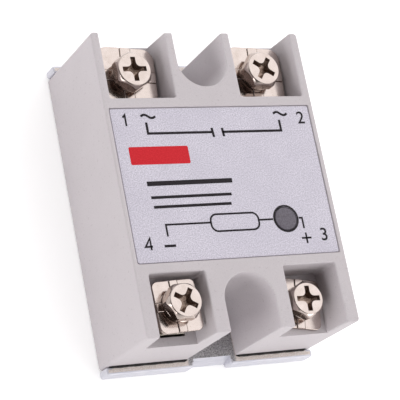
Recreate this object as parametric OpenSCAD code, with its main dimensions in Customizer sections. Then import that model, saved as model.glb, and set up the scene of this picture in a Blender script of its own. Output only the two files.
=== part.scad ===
// Solid state relay in the flat panel-mount style: a moulded housing on an aluminium base plate,
// four clamp screw terminals in open bays, and the power section inside on the plate.
// Origin: centre of the underside. X is across the relay, Y runs to the output terminals, Z is up.
// Terminals 1 and 2 are the outputs (far end, left and right), 3 and 4 the inputs (near end, right
// and left).

/* [Housing] */
// Width of the housing across the terminals
housing_width = 44.5; // [38:0.1:60]
// Length of the housing, end face to end face
housing_length = 59.2; // [54:0.1:80]
// Height of the top face above the mounting surface
housing_top = 22.65; // [20:0.05:30]
// Thickness of the outer walls
side_wall = 1.6; // [1.2:0.1:2]
// Thickness of the top wall under the label
top_wall = 1.5; // [1:0.1:2]
// Radius on the upright corners
housing_corner = 0.7; // [0.3:0.1:1.2]

/* [Base plate] */
// Length of the base plate
plate_length = 62.5; // [60:0.1:84]
// Thickness of the base plate
plate_thickness = 3.3; // [2:0.1:3.4]
// Corner radius of the base plate
plate_corner = 0.6; // [0.4:0.1:1.2]
// Distance between the two mounting slots
mounting_pitch = 47.5; // [44:0.1:66]
// Width of each mounting slot
slot_width = 4.6; // [3.5:0.1:5.5]
// End-to-end length of each mounting slot
slot_length = 5.8; // [5:0.1:7]
// Width of the set-back middle of each plate end
tongue_width = 8; // [7:0.1:10]
// How far the middle of each plate end is set back
tongue_setback = 0.7; // [0.3:0.1:1.2]
// Depth of the slope on the set-back middle, from its top edge to its foot
tongue_slope = 1; // [0.4:0.1:1.4]
// Thickness of the housing skirt that covers each long side of the plate
skirt_thickness = 1; // [0.6:0.1:1.2]
// Height of the skirt's lower edge above the mounting surface
skirt_lift = 0.2; // [0.1:0.05:0.6]
// Gap between the plate and the skirt
skirt_gap = 0.1; // [0.05:0.05:0.3]
// Width and height of the sealant bead along each end of the housing
bead_size = 0.3; // [0.2:0.05:0.5]

/* [Mounting notches] */
// Width of the notch that gives access to each mounting slot
notch_width = 10.4; // [9.5:0.1:11]
// Thickness of the housing wall round each notch
notch_wall = 1.4; // [1:0.1:1.5]

/* [Terminal bays] */
// Height of the bay floors above the mounting surface
bay_floor = 15.4; // [14.5:0.1:16]
// Thickness of the bay floors
floor_thickness = 1.5; // [1:0.1:1.8]
// Half the gap between the two output bays
output_bay_inner = 6.96; // [6.7:0.02:7.5]
// Distance from the middle to the outer side of an output bay
output_bay_outer = 20.57; // [20:0.01:20.9]
// Distance from the middle to the inner wall of the output bays
output_bay_wall = 16.3; // [16:0.1:16.4]
// Half the gap between the two input bays
input_bay_inner = 8.25; // [8:0.05:8.4]
// Distance from the middle to the outer side of an input bay
input_bay_outer = 19.55; // [19.3:0.05:20]
// Distance from the middle to the inner wall of the input bays
input_bay_wall = 17.75; // [17:0.05:18]
// Narrowing of each bay side from the top to the floor
bay_draft = 0.5; // [0.1:0.05:0.55]

/* [Label and LED window] */
// Width of the label
label_width = 42.3; // [36:0.1:42.6]
// Length of the label
label_length = 29.9; // [26:0.1:30.2]
// How far the label centre sits from the middle, towards the inputs
label_shift = 0.75; // [0.4:0.05:1]
// Thickness of the label
label_thickness = 0.25; // [0.1:0.05:0.35]
// Depth of the pocket the label lies in
pocket_depth = 0.45; // [0.3:0.05:0.6]
// Gap between the label and the pocket edge
label_gap = 0.15; // [0.05:0.05:0.3]
// Radius of the LED window
window_radius = 2.25; // [1.8:0.05:2.8]
// Gap round the LED window
window_gap = 0.1; // [0.05:0.01:0.2]

/* [Screws] */
// Shank diameter of the terminal screws
screw_diameter = 3.5; // [3:0.1:4]
// Length of the screw shank under the head
screw_length = 8; // [7:0.1:8.5]
// Distance across the flats of the output screw heads
output_head_flats = 6.9; // [6:0.1:7.2]
// Distance across the flats of the input screw heads
input_head_flats = 6.5; // [5.5:0.1:6.8]
// Height of the screw heads
head_height = 2.4; // [2:0.1:3]
// How much smaller the flat top of a head is than its flats
head_crown = 0.4; // [0.2:0.1:0.8]
// Span of the cross recess
cross_span = 4.9; // [3.5:0.1:5]
// Width of the cross recess arms
cross_width = 0.95; // [0.7:0.05:1.3]
// Depth of the cross recess
cross_depth = 1.5; // [1:0.1:2]
// Radial clearance of the shank in its terminal
screw_clearance = 0.05; // [0.02:0.01:0.1]
// Turn of each screw about its axis, terminals 1 to 4
screw_turn = [1, -34, -2, -31]; // [-60:1:60]

/* [Clamps] */
// Width of the output clamp plates
output_clamp_width = 11.9; // [9:0.1:11.9]
// Length of the output clamp plates
output_clamp_length = 11.8; // [9:0.1:11.8]
// Corner radius of the output clamp plates
output_clamp_corner = 2.4; // [1:0.1:3]
// Width of the input clamp plates
input_clamp_width = 8.8; // [7.5:0.1:8.8]
// Length of the input clamp plates
input_clamp_length = 9.8; // [7.5:0.1:9.8]
// Corner radius of the input clamp plates
input_clamp_corner = 1.2; // [0.8:0.1:1.8]
// Thickness of the clamp plates
clamp_thickness = 0.8; // [0.6:0.05:1.2]
// Height of the pressed cross above the clamp plate
rib_height = 0.2; // [0.1:0.05:0.3]
// Width of the pressed cross on the output clamp plates
output_rib_width = 2.1; // [1.5:0.1:2.5]
// Width of the pressed cross on the input clamp plates
input_rib_width = 1.6; // [1.2:0.1:2]
// Height each clamp is screwed up from its terminal, terminals 1 to 4
clamp_lift = [1.5, 1.8, 0, 3.7]; // [0:0.1:4.2]
// Turn of each clamp plate in its bay, terminals 1 to 4
clamp_turn = [-4.4, -3.5, -9, 2]; // [-9:0.1:4]
// Outer diameter of the lock washers
washer_diameter = 6.6; // [6:0.1:7]
// Thickness of the lock washers
washer_thickness = 1; // [0.8:0.05:1.3]
// Width of the split in the lock washers
washer_split = 0.7; // [0.4:0.1:1]

/* [Terminals] */
// Distance of each screw from the middle, across the relay, terminals 1 to 4
screw_across = [13.8, 13.85, 13.9, 13.6]; // [13.5:0.05:14]
// Distance of each screw from the middle, along the relay, terminals 1 to 4
screw_along = [22.7, 22.6, 23.7, 23.3]; // [22.6:0.05:24.1]
// Width of the output terminal straps
output_strap_width = 7; // [6.5:0.1:8]
// Width of the input terminal straps
input_strap_width = 5.2; // [5:0.1:6.5]
// Height of the straps above the bay floor
strap_stand = 0.05; // [0.02:0.01:0.2]
// Gap round each strap in its bay floor
strap_gap = 0.1; // [0.05:0.01:0.3]
// Gap at the outer end of each strap in its bay floor
strap_end_gap = 0.5; // [0.2:0.05:0.7]
// Thickness of the strap flange under the floor
flange_thickness = 1; // [0.8:0.1:1.4]
// Radius of the threaded boss under each strap
boss_radius = 2.9; // [2.6:0.1:3.2]
// Height of the threaded boss
boss_height = 2; // [1.2:0.1:2.4]
// Thickness of the terminal legs
leg_thickness = 0.8; // [0.6:0.1:1]

/* [Inside] */
// Height of the circuit board's underside above the mounting surface
board_height = 5.8; // [5.6:0.1:6.2]
// Thickness of the circuit board
board_thickness = 1.6; // [1:0.1:1.6]
// Thickness of the ceramic insulator
ceramic_thickness = 0.6; // [0.4:0.05:0.8]
// Thickness of the copper pads on the insulator
pad_thickness = 0.5; // [0.3:0.05:0.6]
// Thickness of the power chip
chip_thickness = 0.6; // [0.4:0.05:0.8]
// Thickness of the potting layer
potting_thickness = 0.8; // [0.5:0.1:1]

/* [Hidden] */

$fn = 48;
eps = 0.01;
half_width = housing_width / 2;
half_length = housing_length / 2;
slot_y = mounting_pitch / 2;
notch_radius = notch_width / 2;
cavity_x = half_width - side_wall;
cavity_y = half_length - side_wall;
floor_under = bay_floor - floor_thickness;
pocket_floor = housing_top - pocket_depth;
cavity_top = pocket_floor - top_wall;
label_top = pocket_floor + label_thickness;
strap_top = bay_floor + strap_stand;
flange_top = floor_under;
board_top = board_height + board_thickness;
ceramic_top = plate_thickness + ceramic_thickness;
pad_top = ceramic_top + pad_thickness;
chip_top = pad_top + chip_thickness;
bore_radius = screw_diameter / 2 + screw_clearance;
output_strap_y = [18.1, 27.3];
input_strap_y = [19.6, 27.4];
// centre of the LED and its window
led_x = 11.1;
led_y = -8.6;
// side (X sign) and end (Y sign) of terminals 1 to 4
side = [-1, 1, 1, -1];
end = [1, 1, -1, -1];

housing_grey = [0.79, 0.77, 0.77];
foil_silver = [0.84, 0.82, 0.86];
nickel = [0.86, 0.82, 0.8];
brass = [0.82, 0.68, 0.36];
aluminium_grey = [0.83, 0.84, 0.87];
board_green = [0.12, 0.38, 0.2];
black = [0.09, 0.09, 0.1];
copper = [0.78, 0.45, 0.3];

function is_output(n) = end[n - 1] > 0;
function head_flats(n) = is_output(n) ? output_head_flats : input_head_flats;
function strap_width(n) = is_output(n) ? output_strap_width : input_strap_width;
function strap_y(n) = is_output(n) ? output_strap_y : input_strap_y;
function screw_x(n) = side[n - 1] * screw_across[n - 1];
function screw_y(n) = end[n - 1] * screw_along[n - 1];
function clamp_base(n) = strap_top + clamp_lift[n - 1];
function clamp_top(n) = clamp_base(n) + clamp_thickness + rib_height;
function head_base(n) = clamp_top(n) + washer_thickness;

// block centred on X and Y, standing on z = 0
module block(x, y, z) {
    translate([-x / 2, -y / 2, 0])
        cube([x, y, z]);
}

// plate with rounded upright corners, centred, standing on z = 0
module rounded_block(x, y, z, r) {
    block(x - 2 * r, y, z);
    block(x, y - 2 * r, z);
    for (i = [-1, 1], j = [-1, 1])
        translate([i * (x / 2 - r), j * (y / 2 - r), 0])
            cylinder(r = r, h = z);
}

// notch outline of a given radius, open at the end face, from z0 to z1
module notch_shape(r, z0, z1) {
    for (e = [-1, 1])
        translate([0, e * slot_y, z0]) {
            cylinder(r = r, h = z1 - z0);
            translate([-r, e > 0 ? 0 : -half_length, 0])
                cube([2 * r, half_length, z1 - z0]);
        }
}

// one terminal bay with sides that narrow towards the floor
module bay(inner, outer, wall, s, e) {
    reach = half_length + 1 - wall;
    top_y = e > 0 ? wall : -wall - reach;
    top_x = s > 0 ? inner : -outer;
    hull() {
        translate([top_x, top_y, housing_top + eps])
            cube([outer - inner, reach, eps]);
        translate([top_x + bay_draft, top_y + (e > 0 ? 0.1 : 0), bay_floor])
            cube([outer - inner - 2 * bay_draft, reach - 0.1, eps]);
    }
}

// opening in a bay floor for its terminal strap
module strap_opening(n) {
    w = strap_width(n) + 2 * strap_gap;
    start = strap_y(n)[0] - strap_gap;
    stop = strap_y(n)[1] + strap_end_gap;
    translate([screw_x(n), end[n - 1] * (start + stop) / 2, 0])
        block(w, stop - start, housing_top);
}

module base_plate() {
    color(aluminium_grey)
        difference() {
            rounded_block(housing_width, plate_length, plate_thickness, plate_corner);
            // sides set in for the housing skirts
            for (s = [-1, 1])
                translate([s * half_width, 0, -1])
                    block(2 * (skirt_thickness + skirt_gap), housing_length + 2 * skirt_gap,
                          plate_thickness + 2);
            for (e = [-1, 1]) {
                translate([0, e * plate_length / 2, -1])
                    block(tongue_width, 2 * tongue_setback, plate_thickness + 2);
                rotate([90, 0, e * 90])
                    translate([plate_length / 2 - tongue_setback, 0, -tongue_width / 2])
                        linear_extrude(tongue_width)
                            polygon([[0, 0.4], [1, 0.4], [1, plate_thickness + 1],
                                     [-tongue_slope, plate_thickness + 1],
                                     [-tongue_slope, plate_thickness]]);
                for (t = [-1, 1])
                    translate([0, e * slot_y + t * (slot_length - slot_width) / 2, -1])
                        cylinder(d = slot_width, h = plate_thickness + 2);
                translate([0, e * slot_y, -1])
                    block(slot_width, slot_length - slot_width, plate_thickness + 2);
            }
        }
}

module housing_space() {
    // room under the bay floors, less the walls round the notches
    difference() {
        translate([0, 0, plate_thickness - 1])
            block(2 * cavity_x, 2 * cavity_y, floor_under - plate_thickness + 1);
        notch_shape(notch_radius + notch_wall, 0, housing_top);
        for (s = [-1, 1], y = [-25, -6, 12.5])
            translate([s * (cavity_x - 0.95), y, board_top])
                cylinder(r = 1.3, h = housing_top);
    }
    // taller room in the middle, under the label
    difference() {
        translate([0, -0.7, floor_under - 1])
            block(2 * cavity_x, 30.8, cavity_top - floor_under + 1);
        for (s = [-1, 1], y = [-6, 12.5])
            translate([s * (cavity_x - 0.95), y, board_top])
                cylinder(r = 1.3, h = housing_top);
    }
}

module housing() {
    color(housing_grey)
        difference() {
            translate([0, 0, skirt_lift])
                rounded_block(housing_width, housing_length, housing_top - skirt_lift, housing_corner);
            // recess for the plate, between the skirts
            translate([0, 0, -1])
                block(housing_width - 2 * skirt_thickness, housing_length + 2, plate_thickness + 1);
            housing_space();
            notch_shape(notch_radius, 0, housing_top + 1);
            for (s = [-1, 1]) {
                bay(output_bay_inner, output_bay_outer, output_bay_wall, s, 1);
                bay(input_bay_inner, input_bay_outer, input_bay_wall, s, -1);
            }
            for (n = [1:4])
                translate([0, 0, plate_thickness + 8])
                    strap_opening(n);
            translate([0, -label_shift, pocket_floor])
                block(label_width + 2 * label_gap, label_length + 2 * label_gap, pocket_depth + 1);
            translate([led_x, led_y, cavity_top - 1])
                cylinder(r = window_radius + window_gap, h = top_wall + 2);
        }
}

// bead of sealant in the corner between each end of the housing and the plate
module joint_seal() {
    inner = notch_radius + 0.1;
    outer = half_width - skirt_thickness - 0.4;
    color(black)
        for (s = [-1, 1], e = [-1, 1])
            translate([s * (inner + outer) / 2, e * (half_length + bead_size / 2), plate_thickness])
                block(outer - inner, bead_size, bead_size);
}

module front_label() {
    color(foil_silver)
        difference() {
            translate([0, -label_shift, pocket_floor])
                block(label_width, label_length, label_thickness);
            translate([led_x, led_y, pocket_floor - 1])
                cylinder(r = window_radius + window_gap, h = label_thickness + 2);
        }
}

module led_window() {
    color([0.3, 0.29, 0.32])
        translate([led_x, led_y, 0]) {
            translate([0, 0, cavity_top - eps])
                cylinder(r = window_radius, h = label_top - cavity_top + eps);
            translate([0, 0, cavity_top - 0.7])
                cylinder(r = window_radius + 0.9, h = 0.7);
        }
}

module indicator_led() {
    body_base = cavity_top - 5.4;
    color([0.8, 0.15, 0.12])
        translate([led_x, led_y, 0]) {
            translate([0, 0, body_base])
                cylinder(r = 1.75, h = 0.8);
            translate([0, 0, body_base])
                cylinder(r = 1.5, h = 3);
            translate([0, 0, body_base + 3])
                sphere(r = 1.5);
            for (s = [-1, 1])
                translate([s * 1.27 / 2, 0, board_top])
                    cylinder(r = 0.25, h = body_base - board_top + 0.5, $fn = 24);
        }
}

// strap with its flange, threaded boss and leg; n is the terminal number
module terminal(n) {
    w = strap_width(n);
    start = strap_y(n)[0];
    long = strap_y(n)[1] - start;
    leg_w = is_output(n) ? 5 : 3;
    leg_end = is_output(n) ? pad_top : board_height - 0.8;
    e = end[n - 1];
    color(brass)
        difference() {
            union() {
                translate([screw_x(n), e * (start + long / 2), flange_top - flange_thickness])
                    block(w, long, strap_top - flange_top + flange_thickness);
                translate([screw_x(n), e * (start + long / 2 - 0.6), flange_top - flange_thickness])
                    block(w + 1.6, long - 0.4, flange_thickness);
                translate([screw_x(n), screw_y(n), flange_top - flange_thickness - boss_height])
                    cylinder(r = boss_radius, h = boss_height + eps);
                translate([screw_x(n), e * (start - 0.4 - leg_thickness / 2), leg_end])
                    block(leg_w, leg_thickness, flange_top - leg_end);
                if (is_output(n))
                    translate([screw_x(n), e * (start - 3.3), leg_end])
                        block(leg_w, 5.2, leg_thickness);
            }
            translate([screw_x(n), screw_y(n), 0])
                cylinder(r = bore_radius, h = housing_top);
        }
}

// square clamp plate with a pressed cross on top
module clamp_plate(n) {
    w = is_output(n) ? output_clamp_width : input_clamp_width;
    long = is_output(n) ? output_clamp_length : input_clamp_length;
    corner = is_output(n) ? output_clamp_corner : input_clamp_corner;
    rib = is_output(n) ? output_rib_width : input_rib_width;
    color(nickel)
        translate([screw_x(n), screw_y(n), clamp_base(n)])
            rotate(clamp_turn[n - 1])
                difference() {
                    union() {
                        rounded_block(w, long, clamp_thickness, corner);
                        block(rib, long - 0.1, clamp_thickness + rib_height);
                        block(w - 0.1, rib, clamp_thickness + rib_height);
                        cylinder(d = washer_diameter + 0.2, h = clamp_thickness + rib_height);
                    }
                    translate([0, 0, -1])
                        cylinder(r = screw_diameter / 2 + 0.1, h = 4);
                }
}

module lock_washer(n) {
    color(nickel)
        translate([screw_x(n), screw_y(n), clamp_top(n)])
            rotate(clamp_turn[n - 1])
                difference() {
                    cylinder(d = washer_diameter, h = washer_thickness);
                    translate([0, 0, -1])
                        cylinder(r = screw_diameter / 2 + 0.1, h = 4);
                    translate([washer_diameter / 2, 0, -1])
                        block(washer_diameter, washer_split, 4);
                }
}

// hexagon-head screw with a cross recess
module screw(n) {
    head_radius = head_flats(n) / 2 / cos(30);
    top_radius = (head_flats(n) - head_crown) / 2;
    color(nickel)
        translate([screw_x(n), screw_y(n), head_base(n)])
            rotate(screw_turn[n - 1]) {
                difference() {
                    intersection() {
                        cylinder(r = head_radius, h = head_height, $fn = 6);
                        union() {
                            cylinder(r = head_radius + 1, h = head_height - 0.5);
                            translate([0, 0, head_height - 0.5])
                                cylinder(r1 = head_radius, r2 = top_radius, h = 0.5);
                        }
                    }
                    translate([0, 0, head_height - cross_depth]) {
                        block(cross_span, cross_width, 3);
                        block(cross_width, cross_span, 3);
                        cylinder(r1 = 0.6, r2 = 1.1, h = cross_depth + eps);
                    }
                }
                translate([0, 0, -screw_length])
                    cylinder(d = screw_diameter, h = screw_length + eps);
            }
}

module circuit_board() {
    color(board_green)
        difference() {
            translate([0, -5.4, board_height])
                block(2 * cavity_x - 0.7, 43.8, board_thickness);
            translate([0, -slot_y - 4, board_height - 1])
                block(14.2, 22, board_thickness + 2);
            for (n = [3, 4])
                translate([screw_x(n), -19.2 + leg_thickness / 2, board_height - 1])
                    block(3.2, leg_thickness + 0.2, board_thickness + 2);
        }
}

module optocoupler() {
    color(black)
        translate([1, -3, board_top]) {
            translate([0, 0, 0.5])
                block(6.4, 8.8, 3.4);
            for (s = [-1, 1], y = [-2.54, 0, 2.54]) {
                translate([s * 3.81, y, 0])
                    block(0.3, 0.6, 2.4);
                translate([s * 3.5, y, 2.1])
                    block(0.9, 0.6, 0.3);
            }
        }
}

// part with a round body between two bent leads
module axial_part(body_radius, body_length, span) {
    lift = body_radius + 0.3;
    translate([-body_length / 2, 0, lift])
        rotate([0, 90, 0])
            cylinder(r = body_radius, h = body_length, $fn = 32);
    translate([-span / 2, 0, lift])
        rotate([0, 90, 0])
            cylinder(r = 0.3, h = span, $fn = 24);
    for (s = [-1, 1])
        translate([s * (span / 2 - 0.3), 0, 0])
            cylinder(r = 0.3, h = lift, $fn = 24);
}

module input_resistors() {
    color([0.75, 0.65, 0.45])
        for (y = [-7.5, -11.5])
            translate([-11.5, y, board_top])
                axial_part(1.15, 6.3, 10);
}

module transistor() {
    color(black)
        translate([-3, -12.5, board_top]) {
            translate([0, 0, 3])
                intersection() {
                    cylinder(r = 2.4, h = 4.6);
                    translate([0, 0.7, 0])
                        block(5, 4.4, 4.6);
                }
            for (x = [-1.27, 0, 1.27])
                translate([x, 0.5, 0])
                    block(0.45, 0.45, 3.1);
        }
}

module diode() {
    color(black)
        translate([4.5, -12.5, board_top])
            axial_part(1.3, 5, 9);
}

module snubber_capacitor() {
    color([0.55, 0.12, 0.1])
        translate([-8.5, 9, board_top]) {
            translate([0, 0, 0.4])
                rounded_block(13, 6, 11, 0.8);
            for (s = [-1, 1])
                translate([s * 5, 0, 0])
                    cylinder(r = 0.35, h = 0.5, $fn = 24);
        }
}

module snubber_resistor() {
    color([0.45, 0.52, 0.6])
        translate([9.5, 9.5, board_top])
            axial_part(1.9, 9, 14);
}

module gate_resistor() {
    color([0.75, 0.65, 0.45])
        translate([11.5, 3.5, board_top])
            axial_part(1.15, 6.3, 10);
}

module ceramic_insulator() {
    color([0.93, 0.92, 0.9])
        translate([0, 9, plate_thickness])
            block(35, 14.6, ceramic_thickness);
}

module copper_pads() {
    color(copper)
        for (s = [-1, 1])
            translate([s * 8.9, 9, ceramic_top])
                block(15.6, 13, pad_thickness);
}

module power_chip() {
    color([0.35, 0.36, 0.4])
        translate([-6, 7, pad_top])
            block(7, 7, chip_thickness);
}

module bridge_strap() {
    color(copper)
        union() {
            translate([-8.2, 4.6, chip_top])
                cube([12.2, 3.6, 0.6]);
            translate([2.4, 4.6, pad_top])
                cube([1.6, 3.6, chip_thickness + 0.3]);
        }
}

module gate_lead() {
    color(copper)
        translate([-4.2, 9.4, chip_top])
            cylinder(r = 0.35, h = board_height - chip_top, $fn = 24);
}

module potting_compound() {
    color([0.16, 0.16, 0.18])
        difference() {
            translate([0, 0, plate_thickness])
                block(2 * cavity_x - 0.4, 2 * cavity_y - 0.4, potting_thickness);
            translate([0, 9, plate_thickness - 1])
                block(35.4, 15, potting_thickness + 2);
            notch_shape(notch_radius + notch_wall + 0.2, 0, housing_top);
        }
}

base_plate();
housing();
joint_seal();
front_label();
led_window();
indicator_led();
terminal(1);  // terminal_1
terminal(2);  // terminal_2
terminal(3);  // terminal_3
terminal(4);  // terminal_4
clamp_plate(1);  // clamp_plate_1
clamp_plate(2);  // clamp_plate_2
clamp_plate(3);  // clamp_plate_3
clamp_plate(4);  // clamp_plate_4
lock_washer(1);  // lock_washer_1
lock_washer(2);  // lock_washer_2
lock_washer(3);  // lock_washer_3
lock_washer(4);  // lock_washer_4
screw(1);  // screw_1
screw(2);  // screw_2
screw(3);  // screw_3
screw(4);  // screw_4
circuit_board();
optocoupler();
input_resistors();
transistor();
diode();
snubber_capacitor();
snubber_resistor();
gate_resistor();
ceramic_insulator();
copper_pads();
power_chip();
bridge_strap();
gate_lead();
potting_compound();
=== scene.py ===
import math

import bmesh
import bpy
from mathutils import Matrix, Vector, geometry


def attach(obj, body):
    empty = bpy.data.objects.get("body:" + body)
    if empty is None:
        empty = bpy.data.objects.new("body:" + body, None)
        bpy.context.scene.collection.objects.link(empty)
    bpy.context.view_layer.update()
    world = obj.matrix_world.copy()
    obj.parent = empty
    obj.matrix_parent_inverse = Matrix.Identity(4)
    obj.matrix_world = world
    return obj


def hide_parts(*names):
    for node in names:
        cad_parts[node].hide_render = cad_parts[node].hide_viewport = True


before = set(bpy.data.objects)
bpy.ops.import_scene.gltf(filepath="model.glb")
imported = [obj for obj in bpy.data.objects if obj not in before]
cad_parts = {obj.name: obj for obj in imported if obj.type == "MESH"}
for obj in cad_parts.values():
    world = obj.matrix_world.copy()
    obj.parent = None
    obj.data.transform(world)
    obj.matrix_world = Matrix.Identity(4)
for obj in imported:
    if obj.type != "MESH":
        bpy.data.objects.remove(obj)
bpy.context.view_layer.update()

mm = 0.001


# ---------------------------------------------------------------------------------------------
# Camera: a long lens looking down over the near left corner, with the near end towards the viewer.
camera_data = bpy.data.cameras.new("camera")
camera = bpy.data.objects.new("camera", camera_data)
bpy.context.scene.collection.objects.link(camera)
camera.location = (-153.561 * mm, -94.422 * mm, 291.263 * mm)
camera.rotation_euler = [math.radians(a) for a in (21.8357, -25.0063, -11.9770)]
camera_data.sensor_width = 36
camera_data.lens = 155.749
camera_data.clip_start = 0.01
camera_data.clip_end = 20
bpy.context.scene.camera = camera
bpy.context.scene.view_settings.view_transform = "Standard"


# ---------------------------------------------------------------------------------------------
# Base plate: a punched aluminium plate with a slot at each end and the middle of each end set
# back. Its sheared edges are softened, and the rolling grain runs along it.
def tone(red, green, blue):
    """A colour given as it looks, 0 to 255, turned into light values."""
    def light(c):
        c = c / 255
        return c / 12.92 if c <= 0.04045 else ((c + 0.055) / 1.055) ** 2.4
    return (light(red), light(green), light(blue), 1.0)


def filleted(corners, steps=5):
    """A closed outline with each corner (x, y, radius) rounded, and the corner each point is from."""
    points, source = [], []
    count = len(corners)
    for i, (x, y, radius) in enumerate(corners):
        here = Vector((x, y))
        if radius <= 0:
            points.append(here)
            source.append(i)
            continue
        back = (Vector(corners[i - 1][:2]) - here).normalized()
        ahead = (Vector(corners[(i + 1) % count][:2]) - here).normalized()
        half = back.angle(ahead) / 2
        middle = here + (back + ahead).normalized() * (radius / math.sin(half))
        start = here + back * (radius / math.tan(half)) - middle
        sweep = start.angle_signed(here + ahead * (radius / math.tan(half)) - middle)
        for k in range(steps + 1):
            a = -sweep * k / steps
            turned = Vector((start.x * math.cos(a) - start.y * math.sin(a),
                             start.x * math.sin(a) + start.y * math.cos(a)))
            points.append(middle + turned)
            source.append(i)
    return points, source


def arc(x, y, radius, start, stop, steps):
    """Points on part of a circle, as corners with no rounding."""
    angles = [math.radians(start + (stop - start) * k / steps) for k in range(steps + 1)]
    return [(x + radius * math.cos(a), y + radius * math.sin(a), 0) for a in angles]


def inset(loop, depth):
    """The outline moved inwards, towards its left side, by a depth."""
    moved = []
    for i, p in enumerate(loop):
        before = (p - loop[i - 1]).normalized()
        after = (loop[(i + 1) % len(loop)] - p).normalized()
        n1, n2 = Vector((-before.y, before.x)), Vector((-after.y, after.x))
        mitre = n1 + n2
        size = max(mitre.length_squared, 0.5)
        moved.append(p + mitre * (2 * depth / size))
    return moved


def rim(radius, steps=3):
    """Inset and drop of each ring round a rounded edge, from the flat face outwards."""
    turns = [math.pi / 2 * k / steps for k in range(steps + 1)]
    return [(radius * (1 - math.sin(t)), radius * (1 - math.cos(t))) for t in turns]


def cap(loops, z, verts, faces, up):
    """A flat face at height z added to verts and faces; with holes it is made of triangles."""
    start = len(verts)
    flat = [p for loop in loops for p in loop]
    verts.extend((p.x, p.y, z) for p in flat)
    if len(loops) == 1:
        face = [start + k for k in range(len(flat))]
        faces.append(face if up else face[::-1])
        return
    for t in geometry.tessellate_polygon([[(p.x, p.y, 0) for p in loop] for loop in loops]):
        a, b, c = (flat[k] for k in t)
        turn = (b.x - a.x) * (c.y - a.y) - (b.y - a.y) * (c.x - a.x)
        face = [start + k for k in t]
        faces.append(face if (turn > 0) == up else face[::-1])


def slab(outline, holes, low, high, top_round=0.0, bottom_round=0.0, hole_round=None):
    """A flat plate from low to high with softened edges. Sizes are in millimetres."""
    verts, faces, tops, feet = [], [], [], []
    for loop in [outline] + holes:
        top = top_round if loop is outline or hole_round is None else hole_round
        rings = [(d, high - drop) for d, drop in (rim(top) if top else [(0, 0)])]
        rings += [(d, low + drop) for d, drop in (rim(bottom_round)[::-1] if bottom_round else [(0, 0)])]
        previous = None
        for depth, z in rings:
            ring = inset(loop, depth)
            start = len(verts)
            verts.extend((p.x, p.y, z) for p in ring)
            if previous is not None:
                n = len(ring)
                for i in range(n):
                    j = (i + 1) % n
                    faces.append((previous + i, start + i, start + j, previous + j))
            previous = start
        tops.append(inset(loop, rings[0][0]))
        feet.append(inset(loop, rings[-1][0]))
    cap(tops, high, verts, faces, True)
    cap(feet, low, verts, faces, False)
    return verts, faces


def solid(name, verts, faces, place=(0, 0, 0), turn=0.0, sharp=40):
    """A mesh object in millimetres, turned and placed, smooth except at sharp edges."""
    c, s = math.cos(math.radians(turn)), math.sin(math.radians(turn))
    x0, y0, z0 = place
    moved = [(x * c - y * s + x0, x * s + y * c + y0, z + z0) for x, y, z in verts]
    mesh = bpy.data.meshes.new(name)
    mesh.from_pydata(moved, [], faces)
    item = bpy.data.objects.new(name, mesh)
    bpy.context.scene.collection.objects.link(item)
    weld(item, sharp)
    return item


def weld(item, sharp=40):
    """Joins touching points of a mesh and shades it smooth between its sharp edges."""
    work = bmesh.new()
    work.from_mesh(item.data)
    bmesh.ops.remove_doubles(work, verts=work.verts, dist=0.002)
    bmesh.ops.dissolve_degenerate(work, edges=work.edges, dist=0.0005)
    bmesh.ops.recalc_face_normals(work, faces=work.faces)
    work.to_mesh(item.data)
    work.free()
    item.data.shade_smooth()
    item.data.set_sharp_from_angle(angle=math.radians(sharp))


def even_shading(item):
    """Lets the large flat faces set the shading, so that softened edges don't smear over them."""
    modifier = item.modifiers.new("even shading", "WEIGHTED_NORMAL")
    modifier.keep_sharp = True
    modifier.weight = 80


def cut(item, tool, operation="DIFFERENCE"):
    """Cuts one closed mesh out of another, or adds it with operation UNION."""
    modifier = item.modifiers.new("cut", "BOOLEAN")
    modifier.operation = operation
    modifier.solver = "EXACT"
    modifier.object = tool
    bpy.context.view_layer.update()
    result = bpy.data.meshes.new_from_object(
        item.evaluated_get(bpy.context.evaluated_depsgraph_get()))
    item.modifiers.remove(modifier)
    item.data = result
    bpy.data.objects.remove(tool)


def fit(item, body, slot, material, *nodes, second=None, where=None):
    """Puts a finished piece on its body in place of the CAD nodes, with its material, and turns
    its millimetres into metres. A second material goes on the faces that where() picks."""
    item.data.materials.clear()
    item.data.materials.append(material)
    for face in item.data.polygons:
        face.material_index = 0
    if second:
        item.data.materials.append(second)
        for face in item.data.polygons:
            face.material_index = int(bool(where(face)))
    item.data.transform(Matrix.Scale(mm, 4))
    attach(item, body)
    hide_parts(*nodes)
    return item


def finish_of(name, metallic=0.0, roughness=0.5):
    """A new material, with its node tree and its main shader."""
    material = bpy.data.materials.new(name)
    material.use_nodes = True
    shader = material.node_tree.nodes["Principled BSDF"]
    shader.inputs["Metallic"].default_value = metallic
    shader.inputs["Roughness"].default_value = roughness
    return material, material.node_tree, shader


def grain(tree, size, stretch=(1, 1, 1), detail=4.0, lowest=0.3, highest=0.7):
    """Noise over the object with spots of a size in millimetres, spread from 0 to 1."""
    place = tree.nodes.new("ShaderNodeTexCoord")
    scale = tree.nodes.new("ShaderNodeMapping")
    scale.inputs["Scale"].default_value = [s / (size * mm) for s in stretch]
    noise = tree.nodes.new("ShaderNodeTexNoise")
    noise.inputs["Scale"].default_value = 1.0
    noise.inputs["Detail"].default_value = detail
    spread = tree.nodes.new("ShaderNodeMapRange")
    spread.inputs["From Min"].default_value = lowest
    spread.inputs["From Max"].default_value = highest
    tree.links.new(place.outputs["Object"], scale.inputs["Vector"])
    tree.links.new(scale.outputs["Vector"], noise.inputs["Vector"])
    tree.links.new(noise.outputs["Fac"], spread.inputs["Value"])
    return spread.outputs["Result"]


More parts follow.
